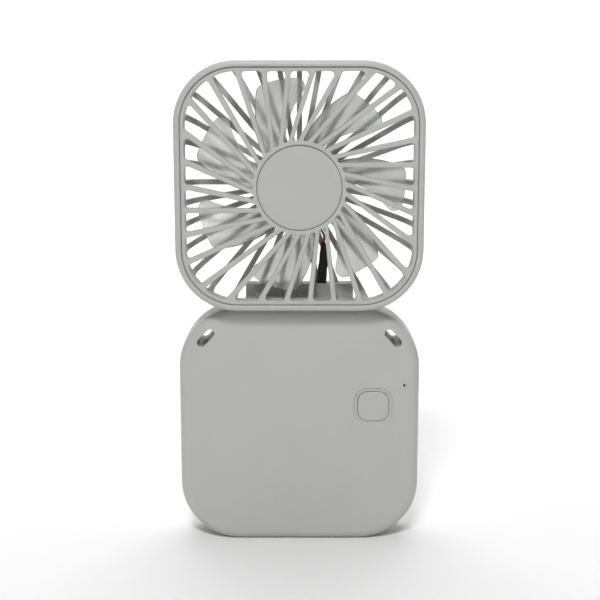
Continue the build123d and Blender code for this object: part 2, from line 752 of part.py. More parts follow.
with BuildPart() as motor_screws:
    for turn in range(3):
        screw_x, screw_rise = polar(motor_screw_ring, turn * 120)
        add(screw_at(screw_x, flange_front_y, head_mid_z + screw_rise, motor_screw_radius,
                     motor_flange_thickness + motor_screw_reach, motor_screw_head,
                     motor_screw_head_depth, -1))
motor_screws.part.label = "motor_screws"
export_step(motor_screws.part, "parts/motor_screws.step")

# ---------------------------------------------------------------- hinge pins and washers
with BuildPart() as hinge_pin:
    with BuildSketch(across(-pin_outer_x)):
        Circle(pin_radius)
    extrude(amount=pin_outer_x + pin_inner_x)
    chamfer(hinge_pin.edges().filter_by(GeomType.CIRCLE), pin_radius / 6)
hinge_pin.part.label = "hinge_pin"
export_step(hinge_pin.part, "parts/hinge_pin.step")

with BuildPart() as hinge_tube:
    with BuildSketch(across(tube_inner_x)):
        Circle(tube_radius)
        Circle(tube_bore, mode=Mode.SUBTRACT)
    extrude(amount=tube_outer_x - tube_inner_x)
    with BuildSketch(passage_plane):
        RectangleRounded(passage_width, passage_depth, passage_depth * 0.45)
    extrude(amount=passage_line.length, mode=Mode.SUBTRACT)
hinge_tube.part.label = "hinge_tube"
export_step(hinge_tube.part, "parts/hinge_tube.step")

with BuildPart() as friction_washers:
    for washer_x, washer_bore in ((-head_knuckle_half - washer_play - washer_thickness, pin_radius),
                                  (head_knuckle_half + washer_play, tube_radius)):
        with BuildSketch(across(washer_x)):
            Circle(washer_radius)
            Circle(washer_bore + pin_play, mode=Mode.SUBTRACT)
        extrude(amount=washer_thickness)
friction_washers.part.label = "friction_washers"
export_step(friction_washers.part, "parts/friction_washers.step")

# ---------------------------------------------------------------- base: front shell
inner_width = body_width - 2 * base_wall
inner_height = base_height - 2 * base_wall
inner_corner = corner_radius - base_wall
slot_places = [(-slot_x, slot_z, 90 - slot_lean), (slot_x, slot_z, slot_lean - 90)]

with BuildPart() as base_front_shell:
    with BuildSketch(facing(shell_split_y, z=base_mid_z)):
        RectangleRounded(body_width, base_height, corner_radius)
    extrude(amount=shell_split_y - base_front_y)
    fillet(faces_at_depth(base_front_shell.part, base_front_y).edges(), base_front_round)
    with BuildSketch(facing(shell_split_y, z=base_mid_z)):
        RectangleRounded(inner_width, inner_height, inner_corner)
    extrude(amount=shell_split_y - base_inner_front_y, mode=Mode.SUBTRACT)
    fillet(faces_at_depth(base_front_shell.part, base_inner_front_y).edges(), base_front_round - base_wall)
    # screw bosses, board posts, battery ribs and slot tunnels
    with BuildSketch(facing(shell_split_y)):
        with Locations(*shell_screw_places):
            Circle(boss_radius)
        for place_x, place_z, turn in slot_places:
            with Locations(Location((place_x, place_z, 0), (0, 0, turn))):
                SlotOverall(slot_length + 2 * slot_wall, slot_width + 2 * slot_wall)
    extrude(amount=shell_split_y - base_front_y - base_wall / 2)
    with BuildSketch(facing(main_board_front_y)):
        with Locations(*board_screw_places):
            Circle(board_post_radius)
    extrude(amount=main_board_front_y - base_front_y - base_wall / 2)
    with BuildSketch(facing(battery_front_y)):
        with Locations((battery_left + battery_rib_inset, battery_mid_z),
                       (battery_left + battery_width - battery_rib_inset, battery_mid_z)):
            Rectangle(battery_rib_wall, battery_rib_length)
    extrude(amount=battery_front_y - base_front_y - base_wall / 2)
    with BuildSketch(facing(shell_split_y)):
        with Locations(*shell_screw_places):
            Circle(screw_radius)
    extrude(amount=pilot_depth, mode=Mode.SUBTRACT)
    with BuildSketch(facing(main_board_front_y)):
        with Locations(*board_screw_places):
            Circle(board_screw_radius)
    extrude(amount=board_screw_length, mode=Mode.SUBTRACT)
    # lanyard slots
    with BuildSketch(facing(shell_split_y)):
        for place_x, place_z, turn in slot_places:
            with Locations(Location((place_x, place_z, 0), (0, 0, turn))):
                SlotOverall(slot_length, slot_width)
    extrude(amount=shell_split_y - base_front_y, mode=Mode.SUBTRACT)
    # dish, opening for the button and hole for the light
    with BuildSketch(facing(dish_floor_y, button_x, button_z)):
        RectangleRounded(button_width + 2 * dish_width, button_height + 2 * dish_width,
                         button_corner + dish_width)
    extrude(amount=dish_depth, taper=-45, mode=Mode.SUBTRACT)
    with BuildSketch(facing(base_inner_front_y, button_x, button_z)):
        RectangleRounded(button_width + 2 * button_gap, button_height + 2 * button_gap,
                         button_corner + button_gap)
    extrude(amount=base_wall, mode=Mode.SUBTRACT)
    with BuildSketch(facing(base_inner_front_y, led_x, led_z)):
        Circle(led_hole_radius)
    extrude(amount=base_wall, mode=Mode.SUBTRACT)
    # charging slot in the right side
    with BuildSketch(across(body_width / 2 - 2 * base_wall, usb_mid_y, usb_z)):
        RectangleRounded(usb_depth + 2 * usb_slot_gap, usb_width + 2 * usb_slot_gap,
                         usb_corner + usb_slot_gap)
    extrude(amount=3 * base_wall, mode=Mode.SUBTRACT)
base_front_shell.part.label = "base_front_shell"
export_step(base_front_shell.part, "parts/base_front_shell.step")

# ---------------------------------------------------------------- base: rear shell
with BuildPart() as base_rear_shell:
    with BuildSketch(facing(rear_y, z=base_mid_z)):
        RectangleRounded(body_width, base_height, corner_radius)
    extrude(amount=rear_y - shell_split_y)
    fillet(faces_at_depth(base_rear_shell.part, rear_y).edges(), base_rear_round)
    with BuildSketch(facing(base_inner_rear_y, z=base_mid_z)):
        RectangleRounded(inner_width, inner_height, inner_corner)
    extrude(amount=base_inner_rear_y - shell_split_y, mode=Mode.SUBTRACT)
    # bosses and slot tunnels
    with BuildSketch(facing(rear_y - base_wall / 2)):
        with Locations(*shell_screw_places):
            Circle(boss_radius)
        for place_x, place_z, turn in slot_places:
            with Locations(Location((place_x, place_z, 0), (0, 0, turn))):
                SlotOverall(slot_length + 2 * slot_wall, slot_width + 2 * slot_wall)
    extrude(amount=rear_y - base_wall / 2 - shell_split_y)
    with BuildSketch(facing(rear_y)):
        with Locations(*shell_screw_places):
            Circle(screw_radius + screw_play)
    extrude(amount=rear_y - shell_split_y, mode=Mode.SUBTRACT)
    with BuildSketch(facing(rear_y)):
        with Locations(*shell_screw_places):
            Circle(screw_head_radius + screw_play)
    extrude(amount=screw_pocket_depth, mode=Mode.SUBTRACT)
    with BuildSketch(facing(rear_y)):
        for place_x, place_z, turn in slot_places:
            with Locations(Location((place_x, place_z, 0), (0, 0, turn))):
                SlotOverall(slot_length, slot_width)
    extrude(amount=rear_y - shell_split_y, mode=Mode.SUBTRACT)
    # hinge block, the notch that clears the head's knuckle, and the base's two knuckles
    with BuildSketch(across(-block_half)):
        with Locations((-fold_gap - base_rear_round / 3, -stack_gap / 2 - base_rear_round / 3)):
            Rectangle(block_reach - fold_gap - base_rear_round / 3,
                      block_reach - stack_gap / 2 - base_rear_round / 3, align=(Align.MAX, Align.MAX))
    extrude(amount=2 * block_half)
    with BuildSketch(across(-base_knuckle_start)):
        Circle(notch_radius)
    extrude(amount=2 * base_knuckle_start, mode=Mode.SUBTRACT)
    for knuckle_x in (-base_knuckle_end, base_knuckle_start):
        with BuildSketch(across(knuckle_x)):
            Circle(barrel_radius)
        extrude(amount=base_knuckle_length)
    with BuildSketch(across(-pin_outer_x)):
        Circle(pin_radius)
    extrude(amount=base_knuckle_length, mode=Mode.SUBTRACT)
    with BuildSketch(across(base_knuckle_start)):
        Circle(tube_radius + pin_play)
    extrude(amount=pin_outer_x - base_knuckle_start, mode=Mode.SUBTRACT)
    with BuildSketch(base_passage_plane):
        RectangleRounded(base_passage_width, base_passage_depth, base_passage_width * 0.3)
    extrude(amount=base_passage_drop, mode=Mode.SUBTRACT)
base_rear_shell.part.label = "base_rear_shell"
export_step(base_rear_shell.part, "parts/base_rear_shell.step")

with BuildPart() as shell_screws:
    for screw_x, screw_z in shell_screw_places:
        add(screw_at(screw_x, screw_seat_y, screw_z, screw_radius, screw_length, screw_head_radius,
                     screw_head_depth, 1))
shell_screws.part.label = "shell_screws"
export_step(shell_screws.part, "parts/shell_screws.step")

# ---------------------------------------------------------------- base: button, switch and light
with BuildPart() as power_button:
    with BuildSketch(facing(button_flange_front_y, button_x, button_z)):
        RectangleRounded(button_width, button_height, button_corner)
    extrude(amount=button_flange_front_y - button_face_y)
    fillet(faces_at_depth(power_button.part, button_face_y).edges(), button_face_round)
    with BuildSketch(facing(button_flange_back_y, button_x, button_z)):
        RectangleRounded(button_width + 2 * button_flange, button_height + 2 * button_flange,
                         button_corner + button_flange)
    extrude(amount=button_flange_depth)
    with BuildSketch(facing(plunger_front_y, button_x, button_z)):
        Circle(button_stem_radius)
    extrude(amount=plunger_front_y - button_flange_back_y)
power_button.part.label = "power_button"
export_step(power_button.part, "parts/power_button.step")

with BuildPart() as switch_plunger:
    with BuildSketch(facing(switch_front_y + plunger_seat, button_x, button_z)):
        Circle(plunger_radius)
    extrude(amount=plunger_seat + plunger_reach)
switch_plunger.part.label = "switch_plunger"
export_step(switch_plunger.part, "parts/switch_plunger.step")

with BuildPart() as switch_body:
    with BuildSketch(facing(main_board_front_y, button_x, button_z)):
        RectangleRounded(switch_size, switch_size, switch_size / 12)
    extrude(amount=switch_depth)
    with BuildSketch(facing(switch_front_y + plunger_pocket, button_x, button_z)):
        Circle(plunger_radius + plunger_play)
    extrude(amount=plunger_pocket, mode=Mode.SUBTRACT)
switch_body.part.label = "switch_body"
export_step(switch_body.part, "parts/switch_body.step")

with BuildPart() as status_led:
    with BuildSketch(facing(main_board_front_y, led_x, led_z)):
        RectangleRounded(led_width, led_height, led_height / 8)
    extrude(amount=led_depth)
status_led.part.label = "status_led"
export_step(status_led.part, "parts/status_led.step")

with BuildPart() as light_pipe:
    with BuildSketch(facing(main_board_front_y - led_depth - snap_play, led_x, led_z)):
        Circle(light_pipe_radius)
    extrude(amount=main_board_front_y - led_depth - snap_play - base_inner_front_y)
    with BuildSketch(facing(base_inner_front_y, led_x, led_z)):
        Circle(light_pipe_tip_radius)
    extrude(amount=base_wall - light_pipe_recess)
light_pipe.part.label = "light_pipe"
export_step(light_pipe.part, "parts/light_pipe.step")

# ---------------------------------------------------------------- base: main board and what is on it
with BuildPart() as main_board:
    with BuildSketch(facing(main_board_back_y, main_board_mid_x, main_board_mid_z)):
        RectangleRounded(main_board_width, main_board_height, board_post_radius)
    extrude(amount=main_board_thickness)
    with BuildSketch(facing(main_board_back_y)):
        with Locations(*board_screw_places):
            Circle(board_screw_radius)
    extrude(amount=main_board_thickness, mode=Mode.SUBTRACT)
main_board.part.label = "main_board"
export_step(main_board.part, "parts/main_board.step")

with BuildPart() as board_screws:
    for screw_x, screw_z in board_screw_places:
        add(screw_at(screw_x, main_board_back_y, screw_z, board_screw_radius, board_screw_length,
                     board_screw_head_radius, screw_head_depth, 1))
board_screws.part.label = "board_screws"
export_step(board_screws.part, "parts/board_screws.step")

with BuildPart() as usb_socket:
    with BuildSketch(across(usb_mouth_x - usb_length, usb_mid_y, usb_z)):
        RectangleRounded(usb_depth, usb_width, usb_corner)
    extrude(amount=usb_length)
    with BuildSketch(across(usb_mouth_x - usb_length + usb_back, usb_mid_y, usb_z)):
        RectangleRounded(usb_depth - 2 * usb_wall, usb_width - 2 * usb_wall, usb_corner - usb_wall)
    extrude(amount=usb_length - usb_back, mode=Mode.SUBTRACT)
usb_socket.part.label = "usb_socket"
export_step(usb_socket.part, "parts/usb_socket.step")

with BuildPart() as usb_tongue:
    with BuildSketch(across(usb_mouth_x - usb_length + usb_back, usb_mid_y, usb_z)):
        RectangleRounded(usb_tongue_depth, usb_tongue_width, usb_tongue_depth / 4)
    extrude(amount=usb_tongue_length)
usb_tongue.part.label = "usb_tongue"
export_step(usb_tongue.part, "parts/usb_tongue.step")

with BuildPart() as controller_chip:
    with BuildSketch(facing(main_board_back_y + chip_lift, chip_x, chip_z)):
        Rectangle(chip_width, chip_height)
    extrude(amount=chip_lift - chip_depth)
    with BuildSketch(facing(main_board_back_y, chip_x, chip_z)):
        with GridLocations(0, chip_leg_pitch, 1, chip_leg_rows):
            Rectangle(chip_leg_span, chip_leg_width)
    extrude(amount=-chip_leg_depth)
controller_chip.part.label = "controller_chip"
export_step(controller_chip.part, "parts/controller_chip.step")

with BuildPart() as charge_coil:
    with BuildSketch(facing(main_board_back_y, coil_can_x, coil_can_z)):
        RectangleRounded(coil_can_size, coil_can_size, coil_can_round)
    extrude(amount=-coil_can_depth)
charge_coil.part.label = "charge_coil"
export_step(charge_coil.part, "parts/charge_coil.step")

with BuildPart() as board_capacitors:
    with BuildSketch(facing(main_board_back_y)):
        with Locations((capacitor_mid_x, capacitor_mid_z)):
            with GridLocations(capacitor_pitch_x, capacitor_pitch_z, 2, 3):
                Rectangle(capacitor_length, capacitor_width)
    extrude(amount=-capacitor_depth)
board_capacitors.part.label = "board_capacitors"
export_step(board_capacitors.part, "parts/board_capacitors.step")

# ---------------------------------------------------------------- base: battery
with BuildPart() as battery_cell:
    with BuildSketch(facing(battery_back_y, battery_mid_x, battery_mid_z)):
        RectangleRounded(battery_width, battery_height, battery_round)
    extrude(amount=battery_depth)
    fillet(battery_cell.faces().filter_by(Axis.Y).edges(), battery_round / 2)
battery_cell.part.label = "battery_cell"
export_step(battery_cell.part, "parts/battery_cell.step")

with BuildPart() as battery_pad:
    with BuildSketch(facing(base_inner_rear_y, battery_mid_x, battery_mid_z)):
        Rectangle(battery_width - 2 * battery_pad_margin, battery_height - 2 * battery_pad_margin)
    extrude(amount=battery_pad_thickness)
battery_pad.part.label = "battery_pad"
export_step(battery_pad.part, "parts/battery_pad.step")

with BuildPart() as battery_board:
    with BuildSketch(facing(battery_board_front_y + battery_board_thickness, battery_mid_x, battery_board_z)):
        Rectangle(battery_board_width, battery_board_height)
    extrude(amount=battery_board_thickness)
battery_board.part.label = "battery_board"
export_step(battery_board.part, "parts/battery_board.step")

with BuildPart() as battery_tabs:
    with BuildSketch(facing(battery_board_front_y, battery_mid_x, battery_top_z)):
        with Locations((-battery_tab_spacing / 2, 0), (battery_tab_spacing / 2, 0)):
            Rectangle(battery_tab_width, battery_board_gap + battery_board_height / 2,
                      align=(Align.CENTER, Align.MIN))
    extrude(amount=battery_tab_thickness)
battery_tabs.part.label = "battery_tabs"
export_step(battery_tabs.part, "parts/battery_tabs.step")

# ---------------------------------------------------------------- leads
# The motor's two leads run down in a flat cable, through the hinge's hollow pin and on to the main
# board.  Each lead stops at the gap between the knuckles and goes on as the base's own piece.
cable_top = Vector(cable_top_x, passage_top_y, head_mid_z - cable_drop)
cable_bottom = Vector(passage_x, passage_top_y, block_top_z)
cable_line = cable_bottom - cable_top
with BuildPart() as motor_cable:
    with BuildSketch(Plane(origin=cable_top, x_dir=Vector(0, 1, 0), z_dir=cable_line.normalized())):
        RectangleRounded(cable_depth, cable_width, cable_depth * 0.45)
    extrude(amount=cable_line.length)
motor_cable.part.label = "motor_cable"
export_step(motor_cable.part, "parts/motor_cable.step")

# the offset that sets the two leads side by side across the cable's width
cable_side = Vector(0, 1, 0).cross(cable_line).normalized()
cable_side = cable_side if cable_side.X > 0 else -cable_side
cable_step = cable_line.normalized() * lead_stub
for colour, side in (("red", -1), ("black", 1)):
    offset = side * lead_spread
    above = cable_top + cable_side * offset
    below = cable_bottom + cable_side * offset
    with BuildPart() as head_lead:
        add(lead([(4.8 + offset, motor_board_back_y, head_mid_z - 9.2),
                  (4.8 + offset, motor_board_back_y + lead_stub, head_mid_z - 9.2),
                  (7.4 + offset, motor_board_back_y + 2.2, head_mid_z - 15.2),
                  above - cable_step * 2,
                  above]))
        add(lead([below,
                  below + cable_step,
                  (passage_x + offset, hinge_y, hinge_z + offset),
                  (lead_joint_x - lead_joint_gap, hinge_y, hinge_z + offset)]))
    head_lead.part.label = f"{colour}_lead_head"
    export_step(head_lead.part, f"parts/{colour}_lead_head.step")
    with BuildPart() as base_lead:
        add(lead([(lead_joint_x + lead_joint_gap, hinge_y, hinge_z + offset),
                  (base_passage_x + 0.75 * offset, hinge_y, hinge_z + offset),
                  (base_passage_x + 0.75 * offset, 6.2, 80.4),
                  (17.0 + offset, 4.6, 73.0),
                  (20.0 + 1.4 * offset, 3.4, 67.0),
                  (22.8 + 1.8 * offset, main_board_back_y + 1.7 * lead_stub, 61.8),
                  (22.8 + 1.8 * offset, main_board_back_y, 61.8)]))
    base_lead.part.label = f"{colour}_lead_base"
    export_step(base_lead.part, f"parts/{colour}_lead_base.step")
    board_end_x = battery_mid_x + battery_board_width / 2
    board_middle_y = battery_board_front_y + battery_board_thickness / 2
    with BuildPart() as battery_lead:
        add(lead([(board_end_x, board_middle_y, battery_board_z + offset),
                  (board_end_x + 2 * lead_stub, board_middle_y, battery_board_z + offset),
                  (2.0, 4.9, 67.6 + 1.4 * offset),
                  (9.0, 4.4, 62.6 + 1.6 * offset),
                  (14.6, 3.4, 56.6 + 1.8 * offset),
                  (18.4, main_board_back_y + 2 * lead_stub, 52.6 + 2.4 * offset),
                  (18.4, main_board_back_y, 52.6 + 2.4 * offset)]))
    battery_lead.part.label = f"battery_lead_{colour}"
    export_step(battery_lead.part, f"parts/battery_lead_{colour}.step")
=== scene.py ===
"""Looks of a folding pocket fan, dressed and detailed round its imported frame.

Lengths are in metres unless a class says otherwise, in the frame that the parts share: X to the right, Y to
the back and Z up.
"""

import logging
import math
import random
from dataclasses import dataclass, field
from enum import Enum
from typing import Iterable, Sequence

import bmesh
import bpy
from mathutils import Matrix, Vector

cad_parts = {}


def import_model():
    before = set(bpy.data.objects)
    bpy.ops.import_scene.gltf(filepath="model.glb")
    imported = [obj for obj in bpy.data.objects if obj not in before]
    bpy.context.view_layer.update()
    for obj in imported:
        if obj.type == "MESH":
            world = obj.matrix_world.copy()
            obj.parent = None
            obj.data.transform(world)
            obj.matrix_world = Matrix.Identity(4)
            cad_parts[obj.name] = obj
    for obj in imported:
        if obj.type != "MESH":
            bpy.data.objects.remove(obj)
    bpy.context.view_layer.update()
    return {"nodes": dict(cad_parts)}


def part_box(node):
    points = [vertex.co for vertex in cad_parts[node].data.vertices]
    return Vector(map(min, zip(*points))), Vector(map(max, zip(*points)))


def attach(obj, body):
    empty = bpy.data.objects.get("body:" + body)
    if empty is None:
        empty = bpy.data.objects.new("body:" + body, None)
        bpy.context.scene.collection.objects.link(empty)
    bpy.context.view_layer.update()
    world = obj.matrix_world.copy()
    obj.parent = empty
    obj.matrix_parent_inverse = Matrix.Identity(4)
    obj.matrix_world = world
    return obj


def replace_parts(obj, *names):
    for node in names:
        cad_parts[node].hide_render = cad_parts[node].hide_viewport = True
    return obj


LOG = logging.getLogger("pocket_fan")
MM = 0.001
Colour = tuple[float, float, float, float]
Socket = bpy.types.NodeSocket

NOISE_DARK = 0.3
NOISE_BRIGHT = 0.7
EDGE_STARTS = 0.995
EDGE_IS_FULL = 0.8
EDGE_RAYS = 4


class Body(Enum):
    """Bodies of the frame that the new pieces ride on."""

    BASE = "base"
    HEAD = "head"


class Slot(Enum):
    """Material slots of the record."""

    SHELL = "shell_grey"
    FROST = "impeller_frost"
    STEEL = "steel"
    BRASS = "brass"
    MAGNET = "magnet"
    LAMINATION = "lamination"
    COPPER = "copper"
    BOARD = "board_green"
    BLACK_PART = "part_black"
    CAPACITOR = "capacitor"
    LED = "led_white"
    CLEAR = "clear_light"
    RED_WIRE = "wire_red"
    BLACK_WIRE = "wire_black"
    CABLE = "cable_black"
    FOIL = "battery_foil"
    FOAM = "foam"
    NICKEL = "nickel"
    WASHER = "washer"


def grey(value: float, warmth: float = 0.0) -> Colour:
    """A grey of that linear value, a little warmer or cooler."""
    return (value * (1 + warmth), value, value * (1 - 2 * warmth), 1.0)


class ShaderBoard:
    """Node tree of one material, with short calls for the nodes that the finishes share."""

    def __init__(self, name: str) -> None:
        """Starts a material that holds a principled shader and object coordinates.

        Args:
            name: Name of the material.
        """
        self.material = bpy.data.materials.new(name)
        self.material.use_nodes = True
        self.tree = self.material.node_tree
        self.tree.nodes.clear()
        self.output = self.tree.nodes.new("ShaderNodeOutputMaterial")
        self.shader = self.tree.nodes.new("ShaderNodeBsdfPrincipled")
        self.place = self.tree.nodes.new("ShaderNodeTexCoord").outputs["Object"]
        self.link(self.shader.outputs["BSDF"], self.output.inputs["Surface"])

    def link(self, source: Socket, target: Socket) -> None:
        """Joins one socket to another."""
        self.tree.links.new(source, target)

    def set(self, **values: float | Colour) -> None:
        """Sets the shader's own sockets; an underscore in a name stands for a space."""
        for name, value in values.items():
            self.shader.inputs[name.replace("_", " ")].default_value = value

    def stretched(self, scale: Sequence[float]) -> Socket:
        """Object coordinates stretched by a scale for each axis.

        Args:
            scale: Factors along X, Y and Z.

        Returns:
            The stretched coordinates.
        """
        mapping = self.tree.nodes.new("ShaderNodeMapping")
        mapping.inputs["Scale"].default_value = scale
        self.link(self.place, mapping.inputs["Vector"])
        return mapping.outputs["Vector"]

    def noise(self, grain: float, detail: float = 2.0, place: Socket | None = None,
              rough: float = 0.5) -> Socket:
        """Noise whose features are about one grain across.

        Args:
            grain: Size of a feature in metres.
            detail: Octaves of finer noise.
            place: Coordinates to use in the place of the object's own.
            rough: Strength of each finer octave.

        Returns:
            The noise's factor.
        """
        node = self.tree.nodes.new("ShaderNodeTexNoise")
        node.inputs["Scale"].default_value = 1.0 / grain
        node.inputs["Detail"].default_value = detail
        node.inputs["Roughness"].default_value = rough
        self.link(place or self.place, node.inputs["Vector"])
        return node.outputs["Fac"]

    def cells(self, grain: float) -> Socket:
        """Random cells that are about one grain across.

        Args:
            grain: Size of a cell in metres.

        Returns:
            The distance from each cell's own point.
        """
        node = self.tree.nodes.new("ShaderNodeTexVoronoi")
        node.inputs["Scale"].default_value = 1.0 / grain
        self.link(self.place, node.inputs["Vector"])
        return node.outputs["Distance"]

    def spread(self, factor: Socket, low: float, high: float) -> Socket:
        """Maps a factor onto the range from low to high.

        Args:
            factor: Value between 0 and 1.
            low: Result where noise has its darkest parts.
            high: Result where noise has its brightest parts.

        Returns:
            The mapped value.
        """
        node = self.tree.nodes.new("ShaderNodeMapRange")
        node.inputs["From Min"].default_value = NOISE_DARK
        node.inputs["From Max"].default_value = NOISE_BRIGHT
        node.inputs["To Min"].default_value = low
        node.inputs["To Max"].default_value = high
        self.link(factor, node.inputs["Value"])
        return node.outputs["Result"]

    def blend(self, factor: Socket, low: Colour, high: Colour) -> Socket:
        """Fades from one colour to another.

        Args:
            factor: Noise that drives the fade.
            low: Colour where noise is darkest.
            high: Colour where noise is brightest.

        Returns:
            The faded colour.
        """
        node = self.tree.nodes.new("ShaderNodeValToRGB")
        dark, bright = node.color_ramp.elements
        dark.position, dark.color = NOISE_DARK, low
        bright.position, bright.color = NOISE_BRIGHT, high
        self.link(factor, node.inputs["Fac"])
        return node.outputs["Color"]

    def mixed(self, factor: Socket, base: Socket, over: Colour) -> Socket:
        """Lays a colour over another by a factor.

        Args:
            factor: Share of the upper colour.
            base: Lower colour.
            over: Upper colour.

        Returns:
            The mixed colour.
        """
        node = self.tree.nodes.new("ShaderNodeMix")
        node.data_type = "RGBA"
        colours = [socket for socket in node.inputs if socket.type == "RGBA"]
        self.link(factor, node.inputs["Factor"])
        self.link(base, colours[0])
        colours[1].default_value = over
        return next(socket for socket in node.outputs if socket.type == "RGBA")

    def eased_edges(self, radius: float) -> Socket:
        """Turns the normal round each sharp edge.

        Args:
            radius: Radius of the turn in metres.

        Returns:
            The eased normal.
        """
        node = self.tree.nodes.new("ShaderNodeBevel")
        node.samples = EDGE_RAYS
        node.inputs["Radius"].default_value = radius
        return node.outputs["Normal"]

    def edge_mask(self, eased: Socket) -> Socket:
        """Factor that rises from 0 on flats to 1 at the middle of an eased edge.

        Args:
            eased: Normal from eased_edges.

        Returns:
            The factor.
        """
        flat = self.tree.nodes.new("ShaderNodeNewGeometry").outputs["Normal"]
        turn = self.tree.nodes.new("ShaderNodeVectorMath")
        turn.operation = "DOT_PRODUCT"
        self.link(eased, turn.inputs[0])
        self.link(flat, turn.inputs[1])
        reach = self.tree.nodes.new("ShaderNodeMapRange")
        reach.inputs["From Min"].default_value = EDGE_STARTS
        reach.inputs["From Max"].default_value = EDGE_IS_FULL
        self.link(turn.outputs["Value"], reach.inputs["Value"])
        return reach.outputs["Result"]

    def bump(self, height: Socket, depth: float, strength: float = 1.0,
             normal: Socket | None = None) -> Socket:
        """Bumps the shader's normal.

        Args:
            height: Relief between 0 and 1.
            depth: Height of the relief in metres.
            strength: Share of the relief that shows.
            normal: Normal that the relief stands on.

        Returns:
            The bumped normal, which the shader already takes.
        """
        node = self.tree.nodes.new("ShaderNodeBump")
        node.inputs["Distance"].default_value = depth
        node.inputs["Strength"].default_value = strength
        self.link(height, node.inputs["Height"])
        if normal is not None:
            self.link(normal, node.inputs["Normal"])
        self.link(node.outputs["Normal"], self.shader.inputs["Normal"])
        return node.outputs["Normal"]


@dataclass(frozen=True)
class MouldedPlastic:
    """Satin injection-moulded plastic with a fine spark-eroded grain and eased edges."""

    name: str
    colour: Colour
    pale: Colour
    # Paler colour that paints a highlight along every eased edge.
    edge_highlight: Colour
    gloss: tuple[float, float] = (0.36, 0.48)
    grain: float = 0.16 * MM
    grain_depth: float = 0.010 * MM
    cloud: float = 14 * MM
    patch: float = 1.7 * MM
    sheen_patch: float = 2.4 * MM
    edge: float = 0.50 * MM
    # Range of the painted edge highlight's strength across the noise patches.
    highlight_range: tuple[float, float] = (0.35, 1.0)
    glow_depth: float = 0.6 * MM

    def build(self) -> bpy.types.Material:
        """Builds faint clouds in the colour, grain in the relief and a painted highlight along the edges,
        whose strength varies in patches.

        Returns:
            The material.
        """
        board = ShaderBoard(self.name)
        clouds = board.blend(board.noise(self.cloud, 3.0), self.colour, self.pale)
        eased = board.eased_edges(self.edge)
        # Painted highlight: every eased edge takes the paler colour, at a strength that varies in noise
        # patches.
        patches = board.spread(board.noise(self.patch, 2.0), *self.highlight_range)
        amount = board.tree.nodes.new("ShaderNodeMath")
        amount.operation = "MULTIPLY"
        board.link(board.edge_mask(eased), amount.inputs[0])
        board.link(patches, amount.inputs[1])
        edge_highlight = board.mixed(amount.outputs["Value"], clouds, self.edge_highlight)
        board.link(edge_highlight, board.shader.inputs["Base Color"])
        sheen = board.spread(board.noise(self.sheen_patch, 4.0), *self.gloss)
        board.link(sheen, board.shader.inputs["Roughness"])
        board.set(IOR=1.49, Specular_IOR_Level=0.5, Subsurface_Weight=0.06, Subsurface_Scale=self.glow_depth)
        board.bump(board.noise(self.grain, 1.0), self.grain_depth, 0.6, eased)
        return board.material


@dataclass(frozen=True)
class FrostedPlastic:
    """Milky translucent plastic, as thin blades are moulded from."""

    name: str
    colour: Colour
    thick: Colour
    # Darker grey that paints shade as an outline along the blade edges.
    edge_shade: Colour
    passing: float = 0.66
    gloss: tuple[float, float] = (0.18, 0.26)
    edge: float = 0.45 * MM
    streak: float = 5 * MM
    haze: float = 1.2 * MM
    ripple: float = 2.2 * MM
    ripple_depth: float = 0.003 * MM

    def build(self) -> bpy.types.Material:
        """Builds flow streaks in the milk, a painted dark outline of shade along the edges, and light that
        passes softly.

        Returns:
            The material.
        """
        board = ShaderBoard(self.name)
        streaks = board.noise(self.streak, 3.0, board.stretched((1.0, 2.2, 1.0)))
        milk = board.blend(streaks, self.thick, self.colour)
        # Painted shade: the eased edges take the darker outline colour.
        edges = board.edge_mask(board.eased_edges(self.edge))
        board.link(board.mixed(edges, milk, self.edge_shade), board.shader.inputs["Base Color"])
        board.link(board.spread(board.noise(self.haze, 3.0), *self.gloss), board.shader.inputs["Roughness"])
        board.set(IOR=1.40, Transmission_Weight=self.passing)
        board.bump(board.noise(self.ripple, 1.0), self.ripple_depth, 0.4)
        return board.material


@dataclass(frozen=True)
class WorkedMetal:
    """Bare or plated metal with drawn or rolled streaks and a few duller patches."""

    name: str
    colour: Colour
    tarnish: Colour
    gloss: tuple[float, float] = (0.22, 0.42)
    drawn: tuple[float, float, float] = (1.0, 1.0, 12.0)
    streak: float = 0.5 * MM
    streak_depth: float = 0.004 * MM
    patch: float = 2.5 * MM
    edge: float = 0.08 * MM

    def build(self) -> bpy.types.Material:
        """Builds streaks in the relief and the gloss, and patches in the colour.

        Returns:
            The material.
        """
        board = ShaderBoard(self.name)
        streaks = board.noise(self.streak, 2.0, board.stretched(self.drawn))
        patches = board.noise(self.patch, 4.0)
        board.link(board.blend(patches, self.tarnish, self.colour), board.shader.inputs["Base Color"])
        board.link(board.spread(streaks, *self.gloss), board.shader.inputs["Roughness"])
        board.set(Metallic=1.0)
        board.bump(streaks, self.streak_depth, 0.6, board.eased_edges(self.edge))
        return board.material


@dataclass(frozen=True)
class SoftJacket:
    """Extruded vinyl or rubber with a faint orange-peel skin."""

    name: str
    colour: Colour
    dusty: Colour
    gloss: tuple[float, float] = (0.38, 0.52)
    dust: float = 3 * MM
    smear: float = 0.8 * MM
    peel: float = 0.35 * MM
    peel_depth: float = 0.012 * MM

    def build(self) -> bpy.types.Material:
        """Builds dusty patches in the colour and peel in the relief.

        Returns:
            The material.
        """
        board = ShaderBoard(self.name)
        dust = board.noise(self.dust, 4.0)
        board.link(board.blend(dust, self.colour, self.dusty), board.shader.inputs["Base Color"])
        board.link(board.spread(board.noise(self.smear, 3.0), *self.gloss), board.shader.inputs["Roughness"])
        board.set(IOR=1.5, Specular_IOR_Level=0.45)
        board.bump(board.noise(self.peel, 2.0), self.peel_depth, 0.7)
        return board.material


